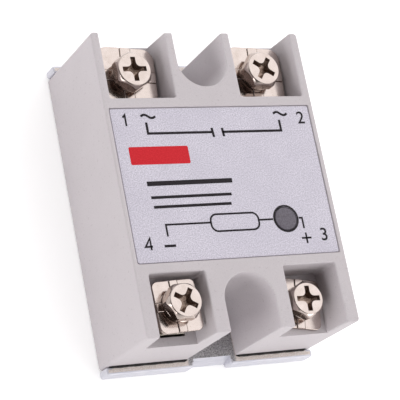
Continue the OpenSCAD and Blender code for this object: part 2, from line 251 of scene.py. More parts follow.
def mixed(tree, amount, first, second):
    """A colour between two, by an amount from 0 to 1. Each colour is a value or a socket."""
    mix = tree.nodes.new("ShaderNodeMix")
    mix.data_type = "RGBA"
    tree.links.new(amount, mix.inputs[0])
    for socket, colour in ((mix.inputs[6], first), (mix.inputs[7], second)):
        if isinstance(colour, bpy.types.NodeSocket):
            tree.links.new(colour, socket)
        else:
            socket.default_value = colour
    return mix.outputs[2]


def between(tree, amount, low, high):
    """A number between low and high, by an amount from 0 to 1."""
    span = tree.nodes.new("ShaderNodeMapRange")
    span.inputs["To Min"].default_value = low
    span.inputs["To Max"].default_value = high
    tree.links.new(amount, span.inputs["Value"])
    return span.outputs["Result"]


def relief(tree, shader, *layers):
    """Bumps on the surface: each layer is a height from 0 to 1 and its depth in millimetres."""
    previous = None
    for height, depth in layers:
        bump = tree.nodes.new("ShaderNodeBump")
        bump.inputs["Strength"].default_value = 1.0
        bump.inputs["Distance"].default_value = depth * mm
        tree.links.new(height, bump.inputs["Height"])
        if previous is not None:
            tree.links.new(previous, bump.inputs["Normal"])
        previous = bump.outputs["Normal"]
    tree.links.new(previous, shader.inputs["Normal"])


plate_half_width, plate_half_length, plate_top = 22.25, 31.25, 3.3
waist_half, lip_back = 21.15, 29.7
tongue_half, tongue_back, slope, foot = 4.0, 0.7, 1.0, 0.4
slot_half_width, slot_half_length, slot_from_middle = 2.3, 2.9, 23.75

corners = []
for e in (-1, 1):
    back, end, tongue = e * lip_back, e * plate_half_length, e * (plate_half_length - tongue_back)
    run = [(-waist_half, back, 0.1), (-plate_half_width, back, 0.47), (-plate_half_width, end, 0.47),
           (-tongue_half, end, 0.47), (-tongue_half, tongue, 0.2), (tongue_half, tongue, 0.2),
           (tongue_half, end, 0.47), (plate_half_width, end, 0.47), (plate_half_width, back, 0.47),
           (waist_half, back, 0.1)]
    corners += run if e < 0 else run[::-1]
plate_outline, _ = filleted(corners)
plate_slots = []
for e in (-1, 1):
    straight = slot_half_length - slot_half_width
    middle = e * slot_from_middle
    loop = (arc(0, middle - straight, slot_half_width, 0, -180, 16)
            + arc(0, middle + straight, slot_half_width, 180, 0, 16))
    plate_slots.append([Vector(p[:2]) for p in loop])
base_plate = solid("base_plate_pressed",
                   *slab(plate_outline, plate_slots, 0, plate_top, 0.46, 0.15, hole_round=0.15))
for e in (-1, 1):
    edge = plate_half_length - tongue_back
    side = [(edge, foot), (edge + 1, foot), (edge + 1, plate_top + 1), (edge - slope, plate_top + 1),
            (edge - slope, plate_top)]
    verts = [(x, e * y, z) for x in (-tongue_half, tongue_half) for y, z in side]
    faces = [(0, 1, 2, 3, 4), (9, 8, 7, 6, 5)] + [(k, (k + 1) % 5, (k + 1) % 5 + 5, k + 5) for k in range(5)]
    cut(base_plate, solid("slope", verts, faces))
weld(base_plate, 35)
even_shading(base_plate)

aluminium, tree, shader = finish_of("milled aluminium", metallic=0.35, roughness=0.42)
rolling = grain(tree, 0.12, stretch=(0.06, 1, 1), detail=5)
stains = grain(tree, 3.5, detail=3)
worn = mixed(tree, stains, tone(210, 210, 219), tone(234, 233, 238))
tree.links.new(mixed(tree, rolling, worn, tone(196, 196, 206)), shader.inputs["Base Color"])
tree.links.new(between(tree, stains, 0.34, 0.5), shader.inputs["Roughness"])
relief(tree, shader, (rolling, 0.004), (grain(tree, 0.5), 0.008))

blasted, tree, shader = finish_of("blasted aluminium", metallic=0.4, roughness=0.7)
coarse = grain(tree, 0.3, detail=5, lowest=0.36, highest=0.64)
streaks = grain(tree, 2.2, stretch=(1, 0.35, 1), detail=4)
dull = mixed(tree, streaks, tone(176, 175, 178), tone(212, 210, 213))
frosted = mixed(tree, coarse, tone(136, 134, 136), dull)
place = tree.nodes.new("ShaderNodeTexCoord")
split = tree.nodes.new("ShaderNodeSeparateXYZ")
across = tree.nodes.new("ShaderNodeMath")
across.operation = "ABSOLUTE"
# Painted reflection: beyond the middle band, on the lips outside the notches, the top is painted a lighter,
# warmer tone that stands in for the lit lip reflecting the housing end; the middle keeps the dark frosted
# tone.
middle = tree.nodes.new("ShaderNodeMapRange")
middle.inputs["From Min"].default_value = 4.9 * mm
middle.inputs["From Max"].default_value = 5.3 * mm
tree.links.new(place.outputs["Object"], split.inputs[0])
tree.links.new(split.outputs["X"], across.inputs[0])
tree.links.new(across.outputs[0], middle.inputs["Value"])
lip = mixed(tree, coarse, tone(222, 211, 203), tone(238, 231, 228))
tree.links.new(mixed(tree, middle.outputs["Result"], frosted, lip), shader.inputs["Base Color"])
tree.links.new(between(tree, coarse, 0.8, 0.6), shader.inputs["Roughness"])
relief(tree, shader, (coarse, 0.05), (grain(tree, 0.1, detail=3), 0.02))
fit(base_plate, "relay", "base_aluminium", aluminium, "base_plate",
    second=blasted, where=lambda face: face.normal.z > 0.99)


# ---------------------------------------------------------------------------------------------
# Housing: one light grey moulding with four open terminal bays, two deep notches over the
# mounting slots and a shallow pocket for the label. The rims are softened and the skin is fine.
def housing_corners(level):
    """The housing's outline going round from the near left corner; level 0 is the top, 1 the bay
    floor. Each corner says which bay it belongs to, or 0."""
    found = []

    def bay_corners(number, first, last, wall, end):
        draft = 0.5 * level
        toward = 1 if last > first else -1
        wall += math.copysign(0.1, end) * level
        for x, y, r in ((first + toward * draft, end, 0.3), (first + toward * draft, wall, 0.45),
                        (last - toward * draft, wall, 0.45), (last - toward * draft, end, 0.3)):
            found.append(((x, y, r), number))

    def plain(*points):
        found.extend((p, 0) for p in points)

    end = housing_end
    plain((-plate_half_width, -end, 0.7))
    bay_corners(4, -19.55, -8.25, -17.75, -end)
    plain((-5.2, -end, 0.3), *arc(0, -slot_from_middle, 5.2, 180, 0, 28), (5.2, -end, 0.3))
    bay_corners(3, 8.25, 19.55, -17.75, -end)
    plain((plate_half_width, -end, 0.7), (plate_half_width, end, 0.7))
    bay_corners(2, 20.57, 6.96, 16.3, end)
    plain((5.2, end, 0.3), *arc(0, slot_from_middle, 5.2, 0, -180, 28), (-5.2, end, 0.3))
    bay_corners(1, -6.96, -20.57, 16.3, end)
    plain((-plate_half_width, end, 0.7))
    return found


housing_end = 29.6
housing_top, bay_floor, rim_radius, skirt_foot = 22.65, 15.4, 0.32, 0.2
pocket_floor, pocket_round = 22.2, 0.12
label_half_width, label_half_length, label_middle, label_gap = 21.15, 14.95, -0.75, 0.17
window_x, window_y, window_hole = 11.1, -8.6, 2.35

named_top, named_floor = housing_corners(0), housing_corners(1)
top_loop, source = filleted([c for c, _ in named_top])
floor_loop, _ = filleted([c for c, _ in named_floor])
bay_of = [named_top[k][1] for k in source]
count = len(top_loop)

verts, faces = [], []
rings = [(inset(top_loop, d), housing_top - drop) for d, drop in rim(rim_radius, 4)]
rings.append((floor_loop, bay_floor))
for k, (ring, z) in enumerate(rings):
    verts.extend((p.x, p.y, z) for p in ring)
    if k:
        for i in range(count):
            j = (i + 1) % count
            faces.append(((k - 1) * count + i, k * count + i, k * count + j, (k - 1) * count + j))
floor_start = (len(rings) - 1) * count
skirt = []
for i in range(count):
    number = bay_of[i]
    first_of_bay = number and bay_of[i - 1] != number
    last_of_bay = number and bay_of[(i + 1) % count] != number
    if not number or first_of_bay or last_of_bay:
        skirt.append(i)
for number in (1, 2, 3, 4):
    faces.append([floor_start + i for i in range(count) if bay_of[i] == number])
foot_start = len(verts)
verts.extend((floor_loop[i].x, floor_loop[i].y, skirt_foot) for i in skirt)
for a in range(len(skirt)):
    b = (a + 1) % len(skirt)
    faces.append((floor_start + skirt[a], foot_start + a, foot_start + b, floor_start + skirt[b]))
cap([[floor_loop[i] for i in skirt]], skirt_foot, verts, faces, False)

px, py = label_half_width + label_gap, label_half_length + label_gap
pocket, _ = filleted([(-px, label_middle - py, 0.3), (-px, label_middle + py, 0.3),
                      (px, label_middle + py, 0.3), (px, label_middle - py, 0.3)], 3)
pocket_rings = [(inset(pocket, d), housing_top - drop) for d, drop in rim(pocket_round, 2)]
pocket_rings.append((pocket, pocket_floor))
for k, (ring, z) in enumerate(pocket_rings):
    start = len(verts)
    verts.extend((p.x, p.y, z) for p in ring)
    if k:
        n = len(ring)
        for i in range(n):
            j = (i + 1) % n
            faces.append((start - n + i, start + i, start + j, start - n + j))
cap([rings[0][0], pocket_rings[0][0]], housing_top, verts, faces, True)
cap([pocket[::-1]], pocket_floor, verts, faces, True)
housing = solid("housing_moulding", verts, faces)


def disc(radius, steps=48):
    """A round outline."""
    return [Vector(p[:2]) for p in arc(0, 0, radius, 0, 360 - 360 / steps, steps - 1)]


def shifted(loop, x, y):
    return [p + Vector((x, y)) for p in loop]


# the recess for the plate, between the skirts down its long sides
recess = [Vector(p) for p in ((-21.25, -31), (21.25, -31), (21.25, 31), (-21.25, 31))]
cut(housing, solid("recess", *slab(recess, [], -1, plate_top)))
# the room inside, cut out round the notch walls, with pegs left standing that hold the board
notch_wall, room_half, room_end = 6.6, 20.65, 28.0
upper_near, upper_far = -16.1, 14.7
lower = [(-room_half, -room_end, 0)]
lower += [(-notch_wall, -room_end, 0)] + arc(0, -slot_from_middle, notch_wall, 180, 0, 28)
lower += [(notch_wall, -room_end, 0), (room_half, -room_end, 0), (room_half, room_end, 0),
          (notch_wall, room_end, 0)]
lower += arc(0, slot_from_middle, notch_wall, 0, -180, 28)
lower += [(-notch_wall, room_end, 0), (-room_half, room_end, 0)]
lower_loop, _ = filleted(lower)
upper_loop, _ = filleted([(-room_half, upper_near, 0), (room_half, upper_near, 0),
                          (room_half, upper_far, 0), (-room_half, upper_far, 0)])
for loop, low, high in ((lower_loop, 1.0, 13.9), (upper_loop, 13.0, 20.7)):
    room = solid("room", *slab(loop, [], low, high))
    for x, y in ((s * 19.7, y) for s in (-1, 1) for y in (-25, -6, 12.5)):
        peg_loop = shifted(disc(1.3, 24), x, y)
        if low < 5 or y > -20:
            cut(room, solid("peg", *slab(peg_loop, [], 7.4 if low < 5 else 12.0, 24)))
    cut(housing, room)
cut(housing, solid("hole", *slab(shifted(disc(window_hole), window_x, window_y), [], 19.0, 25)))
screws = {1: (-13.8, 22.7), 2: (13.85, 22.6), 3: (13.9, -23.7), 4: (-13.6, -23.3)}
strap_sizes = {1: (7.0, 18.1, 27.3), 2: (7.0, 18.1, 27.3), 3: (5.2, 19.6, 27.4), 4: (5.2, 19.6, 27.4)}
for n, (width, start, stop) in strap_sizes.items():
    x, e = screws[n][0], math.copysign(1, screws[n][1])
    y = sorted((e * (start - 0.1), e * (stop + 0.5)))
    half = width / 2 + 0.1
    window, _ = filleted([(x - half, y[0], 0.3), (x + half, y[0], 0.3),
                          (x + half, y[1], 0.3), (x - half, y[1], 0.3)], 3)
    cut(housing, solid("strap window", *slab(window, [], 10.8, 16.5)))
weld(housing, 35)
even_shading(housing)

moulding, tree, shader = finish_of("light grey moulding", roughness=0.5)
skin = grain(tree, 0.16, detail=3)
flow = grain(tree, 9.0, detail=2)
specks = grain(tree, 0.45, detail=5, lowest=0.62, highest=0.72)
body_tone = mixed(tree, flow, tone(201, 195, 198), tone(207, 201, 204))
skin_tone = mixed(tree, skin, tone(196, 190, 193), body_tone)
tree.links.new(mixed(tree, specks, skin_tone, tone(186, 179, 182)), shader.inputs["Base Color"])
tree.links.new(between(tree, skin, 0.42, 0.6), shader.inputs["Roughness"])
shader.inputs["Specular IOR Level"].default_value = 0.4
relief(tree, shader, (skin, 0.012), (flow, 0.02))
fit(housing, "relay", "housing_plastic", moulding, "housing")


# ---------------------------------------------------------------------------------------------
# Joint shadow: a thin near-black bead along the foot of each end of the housing, where it meets
# the plate; it is painted shadow for the dark gap under the housing's end edge. It swells and
# thins a little along its length.
def bead(start, stop, face_y, out):
    """A quarter-round bead along a housing end face, outwards along y."""
    verts, faces, ribs, turns = [], [], 60, 5
    for k in range(ribs + 1):
        x = start + (stop - start) * k / ribs
        close = min(1.0, min(k, ribs - k) / 2)
        size = (0.4 + 0.03 * math.sin(1.9 * x) + 0.01 * math.sin(7.3 * x + 1)) * (0.4 + 0.6 * close)
        verts.append((x, face_y - out * 0.02, plate_top))
        for t in range(turns + 1):
            a = math.pi / 2 * t / turns
            verts.append((x, face_y + out * size * math.cos(a), plate_top + size * math.sin(a)))
        verts.append((x, face_y - out * 0.02, plate_top + size))
        n = turns + 3
        if k:
            for i in range(n):
                j = (i + 1) % n
                faces.append(((k - 1) * n + i, (k - 1) * n + j, k * n + j, k * n + i))
    faces.append(list(range(n))[::-1])
    faces.append([ribs * n + i for i in range(n)])
    return verts, faces


def joined(items, name):
    """Several meshes made into one."""
    verts, faces = [], []
    for item in items:
        start = len(verts)
        verts.extend(v.co[:] for v in item.data.vertices)
        faces.extend([start + k for k in p.vertices] for p in item.data.polygons)
        bpy.data.objects.remove(item)
    mesh = bpy.data.meshes.new(name)
    mesh.from_pydata(verts, [], faces)
    whole = bpy.data.objects.new(name, mesh)
    bpy.context.scene.collection.objects.link(whole)
    mesh.shade_smooth()
    mesh.set_sharp_from_angle(angle=math.radians(40))
    return whole


# Painted shadow: the bead is near black so that it draws the dark line of shade under each end of the
# housing.
joint_painted_shadow, tree, shader = finish_of("painted joint shadow", roughness=0.45)
shadow_mottle = grain(tree, 0.6, detail=4)
tree.links.new(mixed(tree, shadow_mottle, tone(16, 14, 16), tone(34, 31, 32)), shader.inputs["Base Color"])
shader.inputs["Specular IOR Level"].default_value = 0.2
tree.links.new(between(tree, shadow_mottle, 0.35, 0.6), shader.inputs["Roughness"])
relief(tree, shader, (shadow_mottle, 0.02))
beads = [solid("bead", *bead(s * 5.3, s * 21.25 - 0.35, e * housing_end, e))
         for s in (-1, 1) for e in (-1, 1)]
fit(joined(beads, "joint_shadow_bead"), "relay", "potting", joint_painted_shadow, "joint_seal")


# ---------------------------------------------------------------------------------------------
# Front label: a thin silvered foil stuck in the pocket, with a round hole over the LED window.
# Terminal numbers and plain circuit lines are screen printed on it in black.
label_low, label_high = 22.2, 22.45
lx, ly = label_half_width, label_half_length
label_outline, _ = filleted([(-lx, label_middle - ly, 0.4), (lx, label_middle - ly, 0.4),
                             (lx, label_middle + ly, 0.4), (-lx, label_middle + ly, 0.4)], 3)
label_hole = shifted(disc(window_hole)[::-1], window_x, window_y)
label = solid("front_label_foil", *slab(label_outline, [label_hole], label_low, label_high, 0.04))
even_shading(label)

foil, tree, shader = finish_of("silvered foil", metallic=0.25, roughness=0.46)
fleck = grain(tree, 0.22, detail=2, lowest=0.35, highest=0.65)
cloud = grain(tree, 6.0, detail=2)
ground = mixed(tree, cloud, tone(211, 207, 219), tone(221, 217, 228))
tree.links.new(mixed(tree, fleck, tone(178, 174, 186), ground), shader.inputs["Base Color"])
tree.links.new(between(tree, fleck, 0.4, 0.54), shader.inputs["Roughness"])
relief(tree, shader, (fleck, 0.004))
fit(label, "relay", "label_foil", foil, "front_label")

ink_low, ink_high = label_high - 0.01, label_high + 0.02


def ribbon(points, width, closed=False):
    """A printed line through the points."""
    line = [Vector(p) for p in points]
    count = len(line)
    left, right = [], []
    for i, p in enumerate(line):
        before = line[i - 1] if closed or i else None
        after = line[(i + 1) % count] if closed or i < count - 1 else None
        d1 = (p - before).normalized() if before is not None else (after - p).normalized()
        d2 = (after - p).normalized() if after is not None else d1
        n1, n2 = Vector((-d1.y, d1.x)), Vector((-d2.y, d2.x))
        m = (n1 + n2) * (width / max((n1 + n2).length_squared, 0.5))
        left.append(p + m)
        right.append(p - m)
    if closed:
        return slab(right, [left[::-1]], ink_low, ink_high)
    return slab(right + left[::-1], [], ink_low, ink_high)


prints = []


def printed(verts, faces):
    prints.append(solid("ink", verts, faces))


line_width, fine_line = 0.48, 0.36
for s in (-1, 1):
    printed(*ribbon([(s * 14.2, 11.4), (s * 14.2, 9.2), (s * 1.45 if s > 0 else -0.95, 9.2)], line_width))
printed(*ribbon([(-0.78, 10.05), (-0.62, 8.2)], line_width))
printed(*ribbon([(1.42, 10.0), (1.55, 8.3)], line_width))
printed(*ribbon([(-14.2, -10.9), (-14.2, -8.65), (-4.95, -8.65)], fine_line))
printed(*ribbon([(5.2, -8.6), (window_x - 2.8, -8.6)], fine_line))
printed(*ribbon([(window_x + 2.8, -8.6), (14.6, -8.6), (14.6, -10.7)], fine_line))
box_loop, _ = filleted([(-4.9, -10.4, 1.3), (5.2, -10.4, 1.3), (5.2, -7.1, 1.3), (-4.9, -7.1, 1.3)], 6)
printed(*ribbon(box_loop, fine_line, closed=True))
ring_out, ring_in = disc(2.72), disc(window_hole)
printed(*slab(shifted(ring_out, window_x, window_y),
              [shifted(ring_in[::-1], window_x, window_y)], ink_low, ink_high))
for x, y in ((-13.6, 12.6), (14.7, 12.7)):
    wave = [(x + 1.5 * t / 8, y - 0.34 * math.sin(math.pi * t / 8)) for t in range(-8, 9)]
    printed(*ribbon(wave, 0.45))
printed(*ribbon([(-15.25, -12.7), (-12.95, -12.7)], line_width))
printed(*ribbon([(13.65, -12.62), (15.75, -12.62)], fine_line))
printed(*ribbon([(14.7, -13.67), (14.7, -11.57)], fine_line))
printed(*ribbon([(-18.8, 12.45), (-18.3, 12.95), (-18.3, 10.75)], fine_line))
printed(*ribbon([(-17.6, -12.65), (-19.05, -12.65), (-17.95, -11.05), (-17.95, -13.3)], fine_line))
for digit, x, y in (("2", 19.1, 11.8), ("3", 18.65, -12.07)):
    text = bpy.data.curves.new("digit", "FONT")
    text.body = digit
    text.size = 3.55
    text.extrude = 0.015
    text.offset = 0.03
    text.align_x = "CENTER"
    text.align_y = "CENTER"
    item = bpy.data.objects.new("digit", text)
    bpy.context.scene.collection.objects.link(item)
    bpy.context.view_layer.update()
    mesh = bpy.data.meshes.new_from_object(item.evaluated_get(bpy.context.evaluated_depsgraph_get()))
    bpy.data.objects.remove(item)
    middle_x = (min(v.co.x for v in mesh.vertices) + max(v.co.x for v in mesh.vertices)) / 2
    middle_y = (min(v.co.y for v in mesh.vertices) + max(v.co.y for v in mesh.vertices)) / 2
    verts = [(v.co.x - middle_x + x, v.co.y - middle_y + y, v.co.z + label_high + 0.005)
             for v in mesh.vertices]
    printed(verts, [list(p.vertices) for p in mesh.polygons])
for x0, x1, y, width in ((-16.4, 1.3, -0.65, 0.9), (-16.1, 0.6, -3.35, 0.55), (-15.9, 0.2, -5.2, 0.55)):
    printed(*ribbon([(x0, y), (x1, y + 0.1)], width))


def printing_ink(name, dark, light):
    """A flat screen ink with faintly uneven cover."""
    material, tree, shader = finish_of(name, roughness=0.5)
    cover = grain(tree, 0.25, detail=3)
    tree.links.new(mixed(tree, cover, tone(*dark), tone(*light)), shader.inputs["Base Color"])
    tree.links.new(between(tree, cover, 0.4, 0.6), shader.inputs["Roughness"])
    shader.inputs["Specular IOR Level"].default_value = 0.15
    relief(tree, shader, (cover, 0.003))
    return material


black_ink = printing_ink("black ink", (24, 20, 24), (44, 39, 44))
fit(joined(prints, "label_ink_black"), "relay", "label_foil", black_ink)

red_ink = printing_ink("red ink", (196, 26, 38), (212, 42, 52))
bar, _ = filleted([(-18.8, 3.1, 0.3), (-6.6, 3.1, 0.3), (-6.6, 6.6, 0.3), (-18.8, 6.6, 0.3)], 3)
label_bar = solid("label_ink_red", *slab(bar, [], ink_low, ink_high))
fit(label_bar, "relay", "label_foil", red_ink)


# ---------------------------------------------------------------------------------------------
# LED window and LED: a smoked disc pushed up into the label's hole from inside, and the 3 mm
# lamp on its two leads below it.
def lathe(profile, steps=48):
    """A turned solid from (radius, height) pairs, bottom to top, closed at both ends."""
    verts, faces, rings = [], [], []
    for radius, z in profile:
        if radius < 1e-6:
            rings.append([len(verts)])
            verts.append((0, 0, z))
        else:
            rings.append(list(range(len(verts), len(verts) + steps)))
            verts.extend((radius * math.cos(2 * math.pi * k / steps),
                          radius * math.sin(2 * math.pi * k / steps), z) for k in range(steps))
    for low, high in zip(rings, rings[1:]):
        for k in range(steps):
            j = (k + 1) % steps
            if len(low) == 1:
                faces.append((low[0], high[j], high[k]))
            elif len(high) == 1:
                faces.append((low[k], low[j], high[0]))
            else:
                faces.append((low[k], low[j], high[j], high[k]))
    for ring, flip in ((rings[0], True), (rings[-1], False)):
        if len(ring) > 1:
            faces.append(ring[::-1] if flip else ring)
    return verts, faces


window = solid("led_window_lens", *lathe([
    (0, 20.05), (1.9, 20.05), (2.15, 20.0), (3.05, 20.0), (3.15, 20.08), (3.15, 20.62), (3.07, 20.7),
    (2.25, 20.7), (2.25, 22.36), (2.2, 22.42), (2.1, 22.45), (1.2, 22.45), (0, 22.45)]),
    place=(window_x, window_y, 0))
even_shading(window)
smoke, tree, shader = finish_of("smoked window", roughness=0.35)
haze = grain(tree, 0.35, detail=4, lowest=0.35, highest=0.65)
tree.links.new(mixed(tree, haze, tone(86, 80, 91), tone(110, 104, 115)), shader.inputs["Base Color"])
tree.links.new(between(tree, haze, 0.3, 0.5), shader.inputs["Roughness"])
shader.inputs["Transmission Weight"].default_value = 0.1
relief(tree, shader, (haze, 0.006))
fit(window, "relay", "window_smoke", smoke, "led_window")

led_parts = [solid("led", *lathe([
    (0, 15.3), (1.7, 15.3), (1.75, 15.35), (1.75, 16.05), (1.7, 16.1), (1.5, 16.1), (1.5, 18.3),
    (1.42, 18.75), (1.2, 19.2), (0.85, 19.55), (0.45, 19.74), (0, 19.8)], 32),
    place=(window_x, window_y, 0))]
for s in (-1, 1):
    lead, _ = filleted([(-0.22, -0.22, 0.05), (0.22, -0.22, 0.05),
                        (0.22, 0.22, 0.05), (-0.22, 0.22, 0.05)], 2)
    led_parts.append(solid("lead", *slab(lead, [], 7.4, 15.4), place=(window_x + s * 0.635, window_y, 0)))
led_red, tree, shader = finish_of("red lamp", roughness=0.2)
depth = grain(tree, 0.8, detail=2)
tree.links.new(mixed(tree, depth, tone(190, 30, 30), tone(220, 60, 55)), shader.inputs["Base Color"])
shader.inputs["Transmission Weight"].default_value = 0.3
relief(tree, shader, (depth, 0.004))
fit(joined(led_parts, "indicator_lamp"), "relay", "led_lens", led_red, "indicator_led")


# ---------------------------------------------------------------------------------------------
# Terminal straps: stamped plated brass under each clamp, with a tapped boss below the bay floor
# and a leg down to the board or to a copper pad. The CAD straps are softened at their edges.
def softened(node, name, width):
    """A copy of a CAD node's mesh with its sharp edges eased."""
    item = bpy.data.objects.new(name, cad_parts[node].data.copy())
    item.data.transform(Matrix.Scale(1 / mm, 4))
    bpy.context.scene.collection.objects.link(item)
    weld(item, 35)
    easing = item.modifiers.new("eased edges", "BEVEL")
    easing.width = width
    easing.segments = 2
    easing.limit_method = "ANGLE"
    easing.angle_limit = math.radians(40)
    bpy.context.view_layer.update()
    item.data = bpy.data.meshes.new_from_object(
        item.evaluated_get(bpy.context.evaluated_depsgraph_get()))
    item.modifiers.clear()
    item.data.shade_smooth()
    item.data.set_sharp_from_angle(angle=math.radians(40))
    return item


plated_brass, tree, shader = finish_of("plated brass", metallic=1.0, roughness=0.28)
smear = grain(tree, 0.8, detail=4)
scratch = grain(tree, 0.1, stretch=(0.08, 1, 1), detail=4)
tree.links.new(mixed(tree, smear, tone(196, 186, 172), tone(222, 214, 204)), shader.inputs["Base Color"])
tree.links.new(between(tree, smear, 0.22, 0.38), shader.inputs["Roughness"])
relief(tree, shader, (scratch, 0.003))
for n in (1, 2, 3, 4):
    strap = softened(f"terminal_{n}", f"terminal_{n}_strap", 0.12)
    even_shading(strap)
    fit(strap, "relay", "terminal_brass", plated_brass, f"terminal_{n}")


# ---------------------------------------------------------------------------------------------
# Clamp plates: square plated steel washers with a cross pressed up in them, so that each screw
# bears on the cross. They hang loose on their screws and sit a little askew.
nickel, tree, shader = finish_of("bright nickel", metallic=1.0, roughness=0.14)
veil = grain(tree, 1.6, detail=3)
polish = grain(tree, 0.07, stretch=(1, 0.3, 1), detail=4)
pits = grain(tree, 0.28, detail=4, lowest=0.66, highest=0.74)
bright = mixed(tree, veil, tone(191, 178, 172), tone(202, 190, 185))
pitted = mixed(tree, pits, bright, tone(166, 152, 144))
# Painted shade: faces that stand upright get a darker tone than faces that look up, so the flats, edges and
# sides of the plating are shaded in their colour.
facing_for_side_shade = tree.nodes.new("ShaderNodeNewGeometry")
tilt_for_side_shade = tree.nodes.new("ShaderNodeSeparateXYZ")
tree.links.new(facing_for_side_shade.outputs["True Normal"], tilt_for_side_shade.inputs[0])
tree.links.new(mixed(tree, between(tree, tilt_for_side_shade.outputs["Z"], 0, 1), tone(172, 157, 148), pitted),
               shader.inputs["Base Color"])
tree.links.new(between(tree, veil, 0.1, 0.2), shader.inputs["Roughness"])
relief(tree, shader, (polish, 0.0012))

lifts = {1: 1.5, 2: 1.8, 3: 0.0, 4: 3.7}
strap_top, plate_thick, cross_high, washer_thick = 15.45, 0.8, 0.2, 1.0
underside, groove_width, groove_depth = 0.01, 0.14, 0.22
plate_bore, cross_edge = 1.86, 0.06
plate_sizes = {1: (11.9, 11.8, 2.4, 2.1, -4.4), 2: (11.9, 11.8, 2.4, 2.1, -3.5),
               3: (8.8, 9.8, 1.2, 1.6, -9.0), 4: (8.8, 9.8, 1.2, 1.6, 2.0)}


def cross_shape(arm, across, along, end_round, flare):
    """A cross outline, with its inner corners filled out by a flare."""
    points = []
    for sx, sy in ((1, -1), (1, 1), (-1, 1), (-1, -1)):
        run = [(sx * arm, sy * along, end_round), (sx * arm, sy * arm, flare),
               (sx * across, sy * arm, end_round)]
        points += run if sx * sy < 0 else run[::-1]
    return filleted(points, 5)[0]


for n, (width, length, corner, arm, turn) in plate_sizes.items():
    w, h, arm = width / 2, length / 2, arm / 2
    spot = {"place": (*screws[n], strap_top + lifts[n]), "turn": turn}
    outline, _ = filleted([(-w, -h, corner), (w, -h, corner), (w, h, corner), (-w, h, corner)], 6)
    plate = solid(f"clamp_plate_{n}_pressed", *slab(outline, [], underside, plate_thick, 0.14, 0.1),
                  **spot)
    groove = cross_shape(arm + groove_width, w + 1, h + 1, 0, 1.8)
    cut(plate, solid("groove", *slab(groove, [], plate_thick - groove_depth, plate_thick + 1), **spot))
    cross = cross_shape(arm, w - cross_edge, h - cross_edge, 0.12, 1.9)
    cut(plate, solid("cross", *slab(cross, [], plate_thick - 0.4, plate_thick + cross_high, 0.1),
                     **spot), "UNION")
    cut(plate, solid("hole", *slab(disc(plate_bore), [], -1, 3), **spot))
    weld(plate)
    even_shading(plate)
    fit(plate, f"clamp_{n}", "nickel_plate", nickel, f"clamp_plate_{n}")


# ---------------------------------------------------------------------------------------------
# Lock washers: split rings of nickel-plated spring steel, coiled and cut, that hang loose on the
# screw between each clamp plate and the head.
def split_ring(inner, outer, height, gap, steps=56):
    """A ring of softened square section with a slanted split."""
    soft = 0.12
    section = [(inner + soft, 0), (outer - soft, 0), (outer, soft), (outer, height - soft),
               (outer - soft, height), (inner + soft, height), (inner, height - soft), (inner, soft)]
    verts, faces, n = [], [], len(section)
    for k in range(steps + 1):
        for radius, z in section:
            slant = 0.5 * (z / height - 0.5) / radius
            start, stop = gap / 2 / radius + slant, 2 * math.pi - gap / 2 / radius + slant
            a = start + (stop - start) * k / steps
            verts.append((radius * math.cos(a), radius * math.sin(a), z))
        if k:
            for i in range(n):
                j = (i + 1) % n
                faces.append(((k - 1) * n + i, (k - 1) * n + j, k * n + j, k * n + i))
    faces.append(list(range(n))[::-1])
    faces.append([steps * n + i for i in range(n)])
    return verts, faces


washer_bore_radius, washer_radius, washer_split = 1.88, 3.3, 0.75
for n, (x, y) in screws.items():
    washer_base = strap_top + lifts[n] + plate_thick + cross_high
    ring = split_ring(washer_bore_radius, washer_radius, washer_thick, washer_split)
    washer = solid(f"lock_washer_{n}_split", *ring,
                   place=(x, y, washer_base), turn=plate_sizes[n][4], sharp=35)
    even_shading(washer)
    fit(washer, f"clamp_{n}", "nickel_plate", nickel, f"lock_washer_{n}")


# ---------------------------------------------------------------------------------------------
# Terminal screws: M3.5 steel screws with a chamfered hexagon head, a cross recess and a rolled
# thread, nickel plated. The input pair's heads are smaller, and each is turned as it was left.
# Painted shade: the cross recess of each screw gets a dark brown finish with lighter patches, standing in
# for the shade inside the recess.
recess_painted_shade, tree, shader = finish_of("painted recess shade", metallic=0.9, roughness=0.4)
recess_shade_mottle = grain(tree, 0.25, detail=4)
tree.links.new(mixed(tree, recess_shade_mottle, tone(104, 82, 70), tone(178, 158, 146)), shader.inputs["Base Color"])
tree.links.new(between(tree, recess_shade_mottle, 0.45, 0.25), shader.inputs["Roughness"])
relief(tree, shader, (recess_shade_mottle, 0.02))

head_high, recess_reach, steps = 2.4, 2.55, 192


